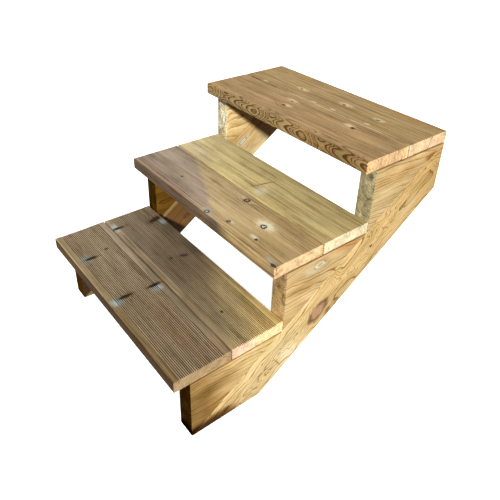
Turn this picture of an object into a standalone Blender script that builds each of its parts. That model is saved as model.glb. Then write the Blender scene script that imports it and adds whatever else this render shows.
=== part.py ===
"""Open-riser timber steps: three treads of two deck boards on two built-up saw-tooth stringers.

Frame: +X to the climber's right, +Y up the flight, +Z up. The origin is on the floor, under the centre of
the steps. Units are metres.
"""

import math

import bmesh
import bpy
from mathutils import Matrix, Vector

# ---- driving dimensions ----------------------------------------------------------------------------------
STEP_WIDTH = 0.600  # length of a tread board
RISE = 0.167  # from one block's seat to the next
GOING = 0.250  # from one block's front to the next
STEPS = ("lower", "middle", "upper")

BOARD_DEPTH = 0.1415  # deck board, front to back
BOARD_THICKNESS = 0.030
BOARD_GAP = 0.003  # between the two boards of a tread
BOARD_ROUNDING = 0.002  # radius of a deck board's long edges
NOSING = 0.038  # how far a tread stands out in front of its blocks

REED_COUNT = 25
REED_PITCH = 0.0043
REED_DEPTH = 0.002
REED_LAND = 0.0021  # flat top between two grooves
REED_MARGIN = 0.017  # smooth strip before the first groove
REEDED_SIDE_UP = {"lower": True, "middle": False, "upper": False}

STRINGER_THICKNESS = 0.045
STRINGER_BOARD_WIDTH = 0.106  # square to the slope
STRINGER_ROUNDING = 0.003  # radius of the diagonal board's long edges
FEATHER = 0.002  # thickness left where a piece tapers out

GAP = 0.0003  # between pieces that touch

BRACKET_LEG = 0.035
BRACKET_SHEET = 0.0025
BRACKET_LENGTH = 0.180
BRACKET_START = 0.062  # from the tread's front edge to the bracket's end
BRACKET_BEND_OUTSIDE = 0.0035
TREAD_SCREW_PLACES = {"front": 0.104, "back": 0.188}  # from the tread's front edge
SIDE_SCREW_PLACES = {"front": 0.080, "back": 0.212}
SCREW_LINE = 0.020  # from a bracket's heel to the middle of its holes

BLOCK_SCREW_PLACES = {"front": 0.060, "back": 0.190}  # along the slope from a block's foot
FOOT_SCREW_PLACE = 0.050  # level, from the lowest block's front face
COUNTERBORE_RADIUS = 0.0085
COUNTERBORE_DEPTH = 0.036
FOOT_COUNTERBORE_DEPTH = 0.008

SCREW_SIDES = 12
HOLE_SIDES = 12

# ---- derived dimensions ----------------------------------------------------------------------------------
SLOPE = math.atan2(RISE, GOING)
ALONG = Vector((0.0, math.cos(SLOPE), math.sin(SLOPE)))  # up the slope
ACROSS = Vector((0.0, -math.sin(SLOPE), math.cos(SLOPE)))  # square to the slope, upwards
TREAD_DEPTH = 2 * BOARD_DEPTH + BOARD_GAP
TOTAL_DEPTH = (len(STEPS) - 1) * GOING + TREAD_DEPTH
FRONT = -TOTAL_DEPTH / 2  # front edge of the lowest tread
BACK = TOTAL_DEPTH / 2
HALF_WIDTH = STEP_WIDTH / 2
INNER_FACE = HALF_WIDTH - STRINGER_THICKNESS
SIDES = {"left": -1, "right": 1}
SLOPE_START = Vector((0.0, FRONT + NOSING, 0.0))  # where the diagonal's upper edge meets the floor

# radius of the head, its height, shank radius and length under the head
SMALL_SCREW = {"head": 0.0048, "height": 0.0026, "shank": 0.0023, "length": 0.024, "tip": 0.005}
SIDE_SCREW = {"head": 0.0048, "height": 0.0026, "shank": 0.0023, "length": 0.032, "tip": 0.005}
LONG_SCREW = {"head": 0.0070, "height": 0.0034, "shank": 0.0030, "length": 0.110, "tip": 0.008}
FOOT_SCREW = {"head": 0.0070, "height": 0.0034, "shank": 0.0030, "length": 0.070, "tip": 0.008}


def seat_height(step):
    """Height of the flat top of a step's blocks."""
    return (step + 1) * RISE


def tread_front(step):
    return FRONT + step * GOING


# ---- materials -------------------------------------------------------------------------------------------
def make_material(name, colour, roughness, metallic=0.0):
    material = bpy.data.materials.new(name)
    material.use_nodes = True
    shader = material.node_tree.nodes["Principled BSDF"]
    shader.inputs["Base Color"].default_value = (*colour, 1.0)
    shader.inputs["Roughness"].default_value = roughness
    shader.inputs["Metallic"].default_value = metallic
    material.diffuse_color = (*colour, 1.0)
    return material


# ---- mesh helpers ----------------------------------------------------------------------------------------
def add_object(name, mesh, material, parent, location=(0, 0, 0), rotation=None):
    obj = bpy.data.objects.new(name, mesh)
    bpy.context.scene.collection.objects.link(obj)
    if material:
        mesh.materials.append(material)
    obj.parent = parent
    obj.location = location
    if rotation is not None:
        obj.rotation_euler = rotation.to_euler()
    return obj


def mesh_from(name, bm):
    bmesh.ops.recalc_face_normals(bm, faces=bm.faces)
    mesh = bpy.data.meshes.new(name)
    bm.to_mesh(mesh)
    bm.free()
    return mesh


def prism(name, outline, low, high):
    """A (y, z) outline carried along X from low to high."""
    bm = bmesh.new()
    face = bm.faces.new([bm.verts.new((low, y, z)) for y, z in outline])
    grown = bmesh.ops.extrude_face_region(bm, geom=[face])["geom"]
    moved = [item for item in grown if isinstance(item, bmesh.types.BMVert)]
    bmesh.ops.translate(bm, verts=moved, vec=(high - low, 0, 0))
    return mesh_from(name, bm)


def arc(centre, radius, start, end, segments):
    """Points on an arc in degrees, both ends included."""
    points = []
    for step in range(segments + 1):
        angle = math.radians(start + (end - start) * step / segments)
        points.append((centre[0] + radius * math.cos(angle), centre[1] + radius * math.sin(angle)))
    return points


def rounded_rectangle(width, height, radius, segments=3):
    """Corners at (0, 0) and (width, height), counterclockwise."""
    right, top = width - radius, height - radius
    outline = arc((right, radius), radius, -90, 0, segments)
    outline += arc((right, top), radius, 0, 90, segments)
    outline += arc((radius, top), radius, 90, 180, segments)
    outline += arc((radius, radius), radius, 180, 270, segments)
    return outline


def turned(bm, profile, sides, matrix):
    """A closed body turned about Z from (radius, height) points, the first and the last on the axis."""
    bottom = bm.verts.new(matrix @ Vector((0, 0, profile[0][1])))
    top = bm.verts.new(matrix @ Vector((0, 0, profile[-1][1])))
    rings = []
    for radius, height in profile[1:-1]:
        ring = []
        for side in range(sides):
            angle = 2 * math.pi * side / sides
            point = Vector((radius * math.cos(angle), radius * math.sin(angle), height))
            ring.append(bm.verts.new(matrix @ point))
        rings.append(ring)
    for side in range(sides):
        after = (side + 1) % sides
        bm.faces.new((bottom, rings[0][after], rings[0][side]))
        bm.faces.new((top, rings[-1][side], rings[-1][after]))
        for low, high in zip(rings, rings[1:]):
            bm.faces.new((low[side], low[after], high[after], high[side]))


def placed(position, direction):
    """Matrix that puts +Z along direction, at position."""
    turn = Vector(direction).to_track_quat("Z", "Y").to_matrix().to_4x4()
    return Matrix.Translation(position) @ turn


def boolean(obj, cutter):
    modifier = obj.modifiers.new("holes", "BOOLEAN")
    modifier.operation = "DIFFERENCE"
    modifier.solver = "EXACT"
    modifier.object = cutter


def add_cutter(name, mesh, parent):
    cutter = add_object(name, mesh, None, parent)
    cutter.hide_render = True
    cutter.display_type = "WIRE"
    return cutter


def drill(obj, holes, parent):
    """Cuts turned holes, each (profile, position, direction), from one object."""
    bm = bmesh.new()
    for profile, position, direction in holes:
        turned(bm, profile, HOLE_SIDES, placed(position, direction))
    name = obj.name + "_holes"
    boolean(obj, add_cutter(name, mesh_from(name, bm), parent))


def hole_profile(radius, start, end):
    return [(0, start), (radius, start), (radius, end), (0, end)]


# ---- tread boards ----------------------------------------------------------------------------------------
def deck_board_outline():
    """Section of a deck board lying with its reeded face up, its front bottom corner at (0, 0)."""
    outline = rounded_rectangle(BOARD_DEPTH, BOARD_THICKNESS, BOARD_ROUNDING)
    corner_points = len(outline) // 4
    before, after = outline[: 2 * corner_points], outline[2 * corner_points :]
    reeds = []
    for reed in reversed(range(REED_COUNT)):
        start = REED_MARGIN + reed * REED_PITCH
        groove = REED_PITCH - REED_LAND
        reeds.append((start + groove, BOARD_THICKNESS))
        reeds.append((start + groove / 2, BOARD_THICKNESS - REED_DEPTH))
        reeds.append((start, BOARD_THICKNESS))
    return before + reeds + after


def tread_board_meshes():
    """The deck board with its reeded face up, and turned over, both centred on X and resting at z = 0."""
    outline = deck_board_outline()
    turned_over = [(y, BOARD_THICKNESS - z) for y, z in reversed(outline)]
    return {
        True: prism("deck_board_reeded_up", outline, -HALF_WIDTH, HALF_WIDTH),
        False: prism("deck_board_smooth_up", turned_over, -HALF_WIDTH, HALF_WIDTH),
    }


def tread_screw_head_centre(side, step, place):
    """The middle of a tread screw's head, on the underside of its bracket's level leg."""
    x = SIDES[side] * (INNER_FACE - GAP - SCREW_LINE)
    y = tread_front(step) + TREAD_SCREW_PLACES[place]
    return Vector((x, y, seat_height(step) - GAP - BRACKET_SHEET - GAP))


def add_treads(root, material):
    meshes = tread_board_meshes()
    for step, step_name in enumerate(STEPS):
        mesh = meshes[REEDED_SIDE_UP[step_name]]
        for place, offset in (("front", 0.0), ("back", BOARD_DEPTH + BOARD_GAP)):
            location = (0, tread_front(step) + offset, seat_height(step))
            name = f"tread_{step_name}_{place}"
            board = add_object(name, mesh.copy(), material, root, location)
            pilot = hole_profile(SMALL_SCREW["shank"] + GAP, 0, SMALL_SCREW["length"] + 2 * GAP)
            holes = [(pilot, tread_screw_head_centre(side, step, place), (0, 0, 1)) for side in SIDES]
            drill(board, holes, root)


# ---- diagonal stringer boards ----------------------------------------------------------------------------
def long_screw_head_centre(side, step, place):
    """The middle of a block screw's head, on the floor of its counterbore in the board's lower edge."""
    on_joint = SLOPE_START + step * (GOING * Vector((0, 1, 0)) + RISE * Vector((0, 0, 1)))
    on_joint = on_joint + BLOCK_SCREW_PLACES[place] * ALONG
    head = on_joint - (STRINGER_BOARD_WIDTH - COUNTERBORE_DEPTH) * ACROSS
    return Vector((SIDES[side] * (HALF_WIDTH - STRINGER_THICKNESS / 2), head.y, head.z))


def foot_screw_head_centre(side):
    x = SIDES[side] * (HALF_WIDTH - STRINGER_THICKNESS / 2)
    return Vector((x, SLOPE_START.y + FOOT_SCREW_PLACE, FOOT_COUNTERBORE_DEPTH))


def is_foot_screw(step, place):
    return step == 0 and place == "front"


def block_screw_layout(side, step, place):
    """(head centre, direction, screw, counterbore depth) of one block screw."""
    if is_foot_screw(step, place):
        return foot_screw_head_centre(side), (0, 0, 1), FOOT_SCREW, FOOT_COUNTERBORE_DEPTH
    return long_screw_head_centre(side, step, place), ACROSS, LONG_SCREW, COUNTERBORE_DEPTH


def counterbored_profile(screw, depth):
    """A hole for a screw whose head's underside is at height 0, with its counterbore running out below."""
    shank = screw["shank"] + GAP
    return [
        (0, -2 * depth),
        (COUNTERBORE_RADIUS, -2 * depth),
        (COUNTERBORE_RADIUS, GAP),
        (shank, GAP),
        (shank, screw["length"] + 2 * GAP),
        (0, screw["length"] + 2 * GAP),
    ]


def stringer_board_mesh(name):
    """A straight board with rounded long edges, its upper edge on the slope line, left overlong."""
    outline = rounded_rectangle(STRINGER_THICKNESS, STRINGER_BOARD_WIDTH, STRINGER_ROUNDING)
    slope_length = TOTAL_DEPTH / math.cos(SLOPE)
    low, high = -STRINGER_BOARD_WIDTH, slope_length + STRINGER_BOARD_WIDTH
    bm = bmesh.new()
    verts = []
    for thick, wide in outline:
        point = SLOPE_START + low * ALONG + (wide - STRINGER_BOARD_WIDTH) * ACROSS
        verts.append(bm.verts.new((thick - STRINGER_THICKNESS / 2, point.y, point.z)))
    grown = bmesh.ops.extrude_face_region(bm, geom=[bm.faces.new(verts)])["geom"]
    moved = [item for item in grown if isinstance(item, bmesh.types.BMVert)]
    bmesh.ops.translate(bm, verts=moved, vec=(high - low) * ALONG)
    return mesh_from(name, bm)


def board_trim(root, x):
    """One cutter that trims a diagonal board level at the floor, and plumb at the toe and at the rear."""
    reach = TOTAL_DEPTH
    toe = SLOPE_START.y + FEATHER / math.tan(SLOPE)
    outline = [
        (toe, 2 * reach),
        (toe, 0),
        (BACK, 0),
        (BACK, 2 * reach),
        (BACK + reach, 2 * reach),
        (BACK + reach, -reach),
        (FRONT - reach, -reach),
        (FRONT - reach, 2 * reach),
    ]
    mesh = prism("stringer_trim", outline, x - STRINGER_THICKNESS, x + STRINGER_THICKNESS)
    return add_cutter("stringer_trim", mesh, root)


def add_stringer_boards(root, material):
    for side, sign in SIDES.items():
        x = sign * (HALF_WIDTH - STRINGER_THICKNESS / 2)
        name = f"stringer_board_{side}"
        board = add_object(name, stringer_board_mesh(name), material, root, (x, 0, 0))
        boolean(board, board_trim(root, x))
        holes = []
        for step in range(len(STEPS)):
            for place in BLOCK_SCREW_PLACES:
                head, direction, screw, depth = block_screw_layout(side, step, place)
                holes.append((counterbored_profile(screw, depth), head, direction))
        drill(board, holes, root)


# ---- triangular step blocks ------------------------------------------------------------------------------
def step_block_outline():
    """Right triangle from its front foot at (0, 0), with its slender rear end cut plumb."""
    lift = GAP / math.cos(SLOPE)  # keeps the sawn face clear of the diagonal board
    seat = RISE - GAP
    tip = (seat - FEATHER - lift) / math.tan(SLOPE)
    return [(0, lift), (tip, seat - FEATHER), (tip, seat), (0, seat)]


def side_screw_head_centre(side, step, place):
    x = SIDES[side] * (INNER_FACE - GAP - BRACKET_SHEET - GAP)
    y = tread_front(step) + SIDE_SCREW_PLACES[place]
    return Vector((x, y, seat_height(step) - GAP - SCREW_LINE))


def add_step_blocks(root, material):
    outline = step_block_outline()
    half = STRINGER_THICKNESS / 2
    for side, sign in SIDES.items():
        outwards = (sign, 0, 0)
        for step, step_name in enumerate(STEPS):
            name = f"step_block_{side}_{step_name}"
            mesh = prism(name, outline, -half, half)
            location = (sign * (HALF_WIDTH - half), tread_front(step) + NOSING, step * RISE)
            block = add_object(name, mesh, material, root, location)
            pilot = hole_profile(SIDE_SCREW["shank"] + GAP, 0, SIDE_SCREW["length"] + 2 * GAP)
            holes = []
            for place in SIDE_SCREW_PLACES:
                holes.append((pilot, side_screw_head_centre(side, step, place), outwards))
            for place in BLOCK_SCREW_PLACES:
                head, direction, screw, _ = block_screw_layout(side, step, place)
                blind = hole_profile(screw["shank"] + GAP, 0, screw["length"] + 2 * GAP)
                holes.append((blind, head, direction))
            drill(block, holes, root)


# ---- tread brackets --------------------------------------------------------------------------------------
def bracket_outline():
    """Section of a right-hand angle in (x, z), its heel at (0, 0), one leg down and one leg inwards."""
    bend = BRACKET_BEND_OUTSIDE
    inside = bend - BRACKET_SHEET
    outline = [(0, -BRACKET_LEG), (0, -bend)]
    outline += arc((-bend, -bend), bend, 0, 90, 3)[1:]
    outline += [(-BRACKET_LEG, 0), (-BRACKET_LEG, -BRACKET_SHEET)]
    outline += arc((-bend, -bend), inside, 90, 0, 3)
    outline += [(-BRACKET_SHEET, -BRACKET_LEG)]
    return outline


def bracket_mesh(name, sign):
    bm = bmesh.new()
    face = bm.faces.new([bm.verts.new((sign * x, 0, z)) for x, z in bracket_outline()])
    grown = bmesh.ops.extrude_face_region(bm, geom=[face])["geom"]
    moved = [item for item in grown if isinstance(item, bmesh.types.BMVert)]
    bmesh.ops.translate(bm, verts=moved, vec=(0, BRACKET_LENGTH, 0))
    return mesh_from(name, bm)


def add_brackets(root, material):
    for side, sign in SIDES.items():
        for step, step_name in enumerate(STEPS):
            name = f"tread_bracket_{side}_{step_name}"
            heel = (sign * (INNER_FACE - GAP), tread_front(step) + BRACKET_START, seat_height(step) - GAP)
            bracket = add_object(name, bracket_mesh(name, sign), material, root, heel)
            through = hole_profile(SMALL_SCREW["shank"] + GAP, -BRACKET_SHEET, 2 * BRACKET_SHEET)
            holes = []
            for place in TREAD_SCREW_PLACES:
                holes.append((through, tread_screw_head_centre(side, step, place), (0, 0, 1)))
            for place in SIDE_SCREW_PLACES:
                holes.append((through, side_screw_head_centre(side, step, place), (sign, 0, 0)))
            drill(bracket, holes, root)


# ---- screws ----------------------------------------------------------------------------------------------
def screw_mesh(name, screw):
    """A domed-head wood screw with a cross recess, the underside of its head at z = 0 and its point up."""
    head, height, shank, length = screw["head"], screw["height"], screw["shank"], screw["length"]
    profile = [
        (0, -height),
        (0.62 * head, -height),
        (0.92 * head, -0.62 * height),
        (head, 0),
        (shank, 0),
        (shank, length - screw["tip"]),
        (0, length),
    ]
    bm = bmesh.new()
    turned(bm, profile, SCREW_SIDES, Matrix.Identity(4))
    return mesh_from(name, bm)


def recess_cutter(name, screw, root):
    """A cross, as deep as half the head, let into the top of the head."""
    reach, half = 0.50 * screw["head"], 0.10 * screw["head"]
    low, high = -2 * screw["height"], -0.45 * screw["height"]
    cross = [(half, half), (half, reach), (-half, reach), (-half, half)]
    cross += [(-reach, half), (-reach, -half), (-half, -half), (-half, -reach)]
    cross += [(half, -reach), (half, -half), (reach, -half), (reach, half)]
    bm = bmesh.new()
    face = bm.faces.new([bm.verts.new((x, y, low)) for x, y in cross])
    grown = bmesh.ops.extrude_face_region(bm, geom=[face])["geom"]
    moved = [item for item in grown if isinstance(item, bmesh.types.BMVert)]
    bmesh.ops.translate(bm, verts=moved, vec=(0, 0, high - low))
    name = name + "_recess"
    return add_cutter(name, mesh_from(name, bm), root)


def add_screw(name, screw, head_centre, direction, material, root):
    matrix = placed(head_centre, direction)
    obj = add_object(name, screw_mesh(name, screw), material, root, head_centre, matrix.to_3x3())
    cutter = recess_cutter(name, screw, root)
    cutter.location = obj.location
    cutter.rotation_euler = obj.rotation_euler
    boolean(obj, cutter)
    obj.data.shade_smooth()
    obj.data.set_sharp_from_angle(angle=math.radians(35))


def add_screws(root, material):
    for side, sign in SIDES.items():
        for step, step_name in enumerate(STEPS):
            where = f"{side}_{step_name}"
            for place in TREAD_SCREW_PLACES:
                head = tread_screw_head_centre(side, step, place)
                add_screw(f"tread_screw_{where}_{place}", SMALL_SCREW, head, (0, 0, 1), material, root)
            for place in SIDE_SCREW_PLACES:
                head = side_screw_head_centre(side, step, place)
                add_screw(f"bracket_screw_{where}_{place}", SIDE_SCREW, head, (sign, 0, 0), material, root)
            for place in BLOCK_SCREW_PLACES:
                head, direction, screw, _ = block_screw_layout(side, step, place)
                add_screw(f"block_screw_{where}_{place}", screw, head, direction, material, root)


# ---- assembly --------------------------------------------------------------------------------------------
def clear_scene():
    for obj in list(bpy.data.objects):
        bpy.data.objects.remove(obj, do_unlink=True)


def main():
    clear_scene()
    root = bpy.data.objects.new("spa_steps", None)
    bpy.context.scene.collection.objects.link(root)
    tread_timber = make_material("tread_timber", (0.33, 0.23, 0.12), 0.60)
    stringer_timber = make_material("stringer_timber", (0.42, 0.30, 0.14), 0.60)
    block_timber = make_material("block_timber", (0.38, 0.27, 0.13), 0.60)
    galvanised_steel = make_material("galvanised_steel", (0.60, 0.62, 0.64), 0.45, 1.0)
    screw_steel = make_material("screw_steel", (0.66, 0.62, 0.50), 0.35, 1.0)
    add_treads(root, tread_timber)
    add_stringer_boards(root, stringer_timber)
    add_step_blocks(root, block_timber)
    add_brackets(root, galvanised_steel)
    add_screws(root, screw_steel)


main()
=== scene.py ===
"""Looks of the timber spa steps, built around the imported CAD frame.

Every timber piece is a fresh mesh with eased or machined edges, grooves and bored holes. Each mesh carries
the point attribute "grain": millimetres along the fibres, across the board and through its thickness. The
timber materials read that attribute, so rings, knots and fibres run through each piece as in solid wood.
"""

import math

import bmesh
import bpy
import numpy as np
from mathutils import Euler, Matrix, Vector, noise


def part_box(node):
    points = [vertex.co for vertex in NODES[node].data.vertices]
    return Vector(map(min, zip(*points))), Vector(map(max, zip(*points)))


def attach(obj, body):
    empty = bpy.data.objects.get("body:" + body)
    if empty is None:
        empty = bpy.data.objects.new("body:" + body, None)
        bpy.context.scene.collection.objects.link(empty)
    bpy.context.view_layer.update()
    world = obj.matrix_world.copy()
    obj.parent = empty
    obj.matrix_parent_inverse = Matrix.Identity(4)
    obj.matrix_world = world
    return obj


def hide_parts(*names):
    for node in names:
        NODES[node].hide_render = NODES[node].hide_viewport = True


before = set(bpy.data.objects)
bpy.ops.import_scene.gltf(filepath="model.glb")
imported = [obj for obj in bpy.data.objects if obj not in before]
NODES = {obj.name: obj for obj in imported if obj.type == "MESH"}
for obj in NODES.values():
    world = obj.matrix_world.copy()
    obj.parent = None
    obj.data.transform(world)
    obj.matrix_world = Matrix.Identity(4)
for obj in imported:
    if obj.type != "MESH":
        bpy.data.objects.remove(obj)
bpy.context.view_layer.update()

MM = 0.001
STEPS = ("lower", "middle", "upper")
SIDES = {"left": -1, "right": 1}
PLACES = ("front", "back")

# ---- driving values, in millimetres unless named otherwise -----------------------------------------------
ARRIS = 3.0  # radius of the stringers' long edges
BOARD_ARRIS = 2.0  # radius of a deck board's long edges
SAWN_EDGE = 0.7  # radius left on sawn edges
TOE_EDGE = 0.9  # radius of the diagonal's upper edge at its thin toe
TOE_TAPER = 30.0  # length over which that radius grows to the full one
WOBBLE = 0.45  # deepest dent along an edge
DENT_LONG, DENT_SHORT = 46, 11  # lengths of the coarse and the fine dents
CREST, CREST_LONG, CREST_WIDE = 0.12, 23, 6  # depth, length and width of the dips in a planed face
CORNER_STEPS = 5  # segments round a deck board's corner
FLAT_STEP = 7  # spacing of points across a deck board's face
EDGE_START, EDGE_SPAN, EDGE_REACH = 0.12, 0.5, 2.5  # where wear on an edge starts, fills out and stops
STATION = 10.0  # spacing of mesh stations along a piece
FEATHER = 2.0  # height left where a step block runs out on the slope
FEATHER_EDGE = 0.3  # radius of that thin end

REED_COUNT = 25
REED_PITCH = 4.3
REED_DEPTH = 2.0
REED_LAND = 2.1  # flat top between two grooves
REED_MARGIN = 17.0  # smooth strip before the first groove
# a groove's section from its far side to its near side: share of its width, share of its depth
GROOVE = ((1.08, 0.0), (0.97, 0.22), (0.74, 0.82), (0.5, 1.0), (0.26, 0.82), (0.03, 0.22), (-0.08, 0.0))

RISE, GOING = 167.0, 250.0
SLOPE = math.atan2(RISE, GOING)
ALONG = Vector((0.0, math.cos(SLOPE), math.sin(SLOPE)))
ACROSS = Vector((0.0, -math.sin(SLOPE), math.cos(SLOPE)))
STRINGER_WIDTH = 106.0

HOLE_CLEARANCE = 0.3
COUNTERBORE_RADIUS = 8.5
HOLE_SIDES = 28

THREAD_PITCH = 2.6
THREAD_DEPTH = 0.6
THREAD_SHARE = 0.5  # share of the pitch taken by the thread's ridge
THREAD_SIDES = 16
RINGS_PER_TURN = 6
PLAIN_SHARE = 0.38  # share of a screw's length that is plain neck
TIP_SHARE, TIP_RIDGE = 0.12, 0.25  # radius and thread at the end of the point, as shares of the shank's
# cross in the head: arm and slot as shares of its radius, depth as a share of its height
RECESS_ARM, RECESS_SLOT, RECESS_DEPTH = 0.5, 0.13, 0.62
# head's outline: share of its radius, share of its height
HEAD_DOME = ((0.40, 0.99), (0.66, 0.90), (0.85, 0.70), (0.96, 0.40), (1.0, 0.12), (0.98, 0.0))

BRACKET_LEG, BRACKET_SHEET = 35.0, 2.5
BRACKET_BEND, BRACKET_ROUND, BRACKET_EASE = 3.5, 0.5, 0.6  # radii of the fold, the edges and the ends


# ---- small mesh helpers ----------------------------------------------------------------------------------
def mesh_object(name, verts, faces):
    """A new object at the origin from points in metres."""
    mesh = bpy.data.meshes.new(name)
    mesh.from_pydata([tuple(v) for v in verts], [], faces)
    obj = bpy.data.objects.new(name, mesh)
    bpy.context.scene.collection.objects.link(obj)
    return obj


def outward_and_triangulated(obj):
    """Turns all faces outwards and splits them into triangles."""
    bm = bmesh.new()
    bm.from_mesh(obj.data)
    bmesh.ops.recalc_face_normals(bm, faces=bm.faces)
    bmesh.ops.triangulate(bm, faces=bm.faces, quad_method="BEAUTY", ngon_method="EAR_CLIP")
    bm.to_mesh(obj.data)
    bm.free()


def smooth_by_angle(obj, degrees=32):
    obj.data.shade_smooth()
    obj.data.set_sharp_from_angle(angle=math.radians(degrees))


def points_of(mesh):
    points = np.zeros(len(mesh.vertices) * 3)
    mesh.vertices.foreach_get("co", points)
    return points.reshape(-1, 3)


def cut(obj, cutters):
    """Takes the cutters' shapes away from the object and removes the cutters."""
    bm = bmesh.new()
    for cutter in cutters:
        bm.from_mesh(cutter.data)
    joined = bpy.data.meshes.new(obj.name + "_holes")
    bm.to_mesh(joined)
    bm.free()
    tool = bpy.data.objects.new(obj.name + "_holes", joined)
    bpy.context.scene.collection.objects.link(tool)
    modifier = obj.modifiers.new("holes", "BOOLEAN")
    modifier.operation = "DIFFERENCE"
    modifier.solver = "EXACT"
    modifier.object = tool
    graph = bpy.context.evaluated_depsgraph_get()
    result = bpy.data.meshes.new_from_object(obj.evaluated_get(graph))
    obj.modifiers.clear()
    obj.data = result
    for used in [tool, *cutters]:
        bpy.data.objects.remove(used, do_unlink=True)


def turned(name, profile, sides, matrix):
    """A closed body turned about Z from (radius, height) points; the first and the last are on the axis."""
    verts = [Vector((0, 0, profile[0][1])), Vector((0, 0, profile[-1][1]))]
    faces = []
    rings = len(profile) - 2
    for radius, height in profile[1:-1]:
        for side in range(sides):
            angle = 2 * math.pi * side / sides
            verts.append(Vector((radius * math.cos(angle), radius * math.sin(angle), height)))
    for side in range(sides):
        after = (side + 1) % sides
        faces.append((0, 2 + after, 2 + side))
        last = 2 + (rings - 1) * sides
        faces.append((1, last + side, last + after))
        for ring in range(rings - 1):
            low = 2 + ring * sides
            faces.append((low + side, low + after, low + sides + after, low + sides + side))
    obj = mesh_object(name, [matrix @ (v * MM) for v in verts], faces)
    outward_and_triangulated(obj)
    return obj


def tube_faces(count, rings):
    """Faces of a closed tube made of rings with count points each: the two ends, then the sides."""
    last = (rings - 1) * count
    faces = [tuple(range(count)), tuple(range(last, last + count))]
    for low in range(0, last, count):
        for i in range(count):
            j = (i + 1) % count
            faces.append((low + i, low + j, low + count + j, low + count + i))
    return faces


def placed(position, direction):
    """Matrix that puts +Z along a direction, at a position in metres."""
    turn = Vector(direction).to_track_quat("Z", "Y").to_matrix().to_4x4()
    return Matrix.Translation(position) @ turn


# ---- screws: where the CAD puts them ---------------------------------------------------------------------
SCREWS = {
    "tread": {"head": 4.8, "height": 2.6, "shank": 2.3, "length": 24.0, "tip": 5.0},
    "bracket": {"head": 4.8, "height": 2.6, "shank": 2.3, "length": 32.0, "tip": 5.0},
    "block": {"head": 7.0, "height": 3.4, "shank": 3.0, "length": 110.0, "tip": 8.0},
    "foot": {"head": 7.0, "height": 3.4, "shank": 3.0, "length": 70.0, "tip": 8.0},
}


def screw_kind(node):
    kind = node.split("_")[0]
    return "foot" if kind == "block" and node.endswith("lower_front") else kind


def screw_direction(node):
    kind = screw_kind(node)
    if kind == "bracket":
        return Vector((SIDES[node.split("_")[2]], 0, 0))
    return ACROSS if kind == "block" else Vector((0, 0, 1))


def screw_place(node):
    """Matrix with the underside of the screw's head at its origin and the point along +Z."""
    direction = screw_direction(node)
    points = points_of(NODES[node].data)
    tip = Vector(points[np.argmax(points @ np.array(direction))])
    return placed(tip - direction * SCREWS[screw_kind(node)]["length"] * MM, direction)


def shank_cutter(node):
    size = SCREWS[screw_kind(node)]
    radius = size["shank"] + HOLE_CLEARANCE
    deep = size["length"] + 2 * HOLE_CLEARANCE
    profile = [(0, -0.5 * HOLE_CLEARANCE), (radius, -0.5 * HOLE_CLEARANCE), (radius, deep), (0, deep)]
    return turned("cutter", profile, HOLE_SIDES, screw_place(node))


def counterbore_cutter(node):
    """The screw's hole and the wide hole for its head, which runs on well past the timber."""
    size = SCREWS[screw_kind(node)]
    radius = size["shank"] + HOLE_CLEARANCE
    deep = size["length"] + 2 * HOLE_CLEARANCE
    outside = -8 * COUNTERBORE_RADIUS
    profile = [(0, outside), (COUNTERBORE_RADIUS, outside), (COUNTERBORE_RADIUS, HOLE_CLEARANCE)]
    profile += [(radius, HOLE_CLEARANCE), (radius, deep), (0, deep)]
    return turned("cutter", profile, HOLE_SIDES, screw_place(node))


def thread_ridge(turn):
    """Height of the thread, 0 to 1, at a number of turns."""
    off_crest = abs((turn % 1.0) - 0.5) * 2
    return max(0.0, 1.0 - off_crest / THREAD_SHARE)


def screw_mesh(name, size):
    """A domed head just below the origin, then a plain neck, a threaded shank and a point along +Z."""
    head, height, shank, length, tip = [size[key] for key in ("head", "height", "shank", "length", "tip")]
    rings = [(head * share, -height * rise, 0.0) for share, rise in HEAD_DOME]
    rings += [(shank, 0.0, 0.0), (shank, length * PLAIN_SHARE, 0.0)]
    core = shank - THREAD_DEPTH
    step = THREAD_PITCH / RINGS_PER_TURN
    count = int((length * (1 - PLAIN_SHARE) - 1.0) / step)
    for ring in range(1, count + 1):
        z = length * PLAIN_SHARE + ring * step
        taper = min(1.0, (length - z) / tip)
        start = min(1.0, ring / RINGS_PER_TURN)
        radius = core * (TIP_SHARE + (1 - TIP_SHARE) * taper)
        rings.append((radius, z, THREAD_DEPTH * start * (TIP_RIDGE + (1 - TIP_RIDGE) * taper)))
    verts = [Vector((0, 0, -height)), Vector((0, 0, length))]
    for radius, z, ridge in rings:
        for side in range(THREAD_SIDES):
            share = side / THREAD_SIDES
            r = radius + ridge * thread_ridge(z / THREAD_PITCH - share)
            angle = 2 * math.pi * share
            verts.append(Vector((r * math.cos(angle), r * math.sin(angle), z)))
    faces = []
    last = 2 + (len(rings) - 1) * THREAD_SIDES
    for side in range(THREAD_SIDES):
        after = (side + 1) % THREAD_SIDES
        faces += [(0, 2 + after, 2 + side), (1, last + side, last + after)]
        for low in range(2, last, THREAD_SIDES):
            faces.append((low + side, low + after, low + THREAD_SIDES + after, low + THREAD_SIDES + side))
    obj = mesh_object(name, [v * MM for v in verts], faces)
    outward_and_triangulated(obj)
    cut(obj, [cross_cutter(head, height)])
    mesh = obj.data
    bpy.data.objects.remove(obj, do_unlink=True)
    return mesh


def cross_cutter(head, height):
    """A tapered cross that sinks into the top of a head."""
    arm, half = head * RECESS_ARM, head * RECESS_SLOT
    plus = [(arm, -half), (arm, half), (half, half), (half, arm), (-half, arm), (-half, half)]
    plus += [(-x, -y) for x, y in plus]
    levels = [(-height - 1.0, 1.12), (-height * (1 - RECESS_DEPTH), 0.55)]
    verts = [Vector((x * scale, y * scale, z)) * MM for z, scale in levels for x, y in plus]
    cutter = mesh_object("cutter", verts, tube_faces(len(plus), len(levels)))
    outward_and_triangulated(cutter)
    return cutter


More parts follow.
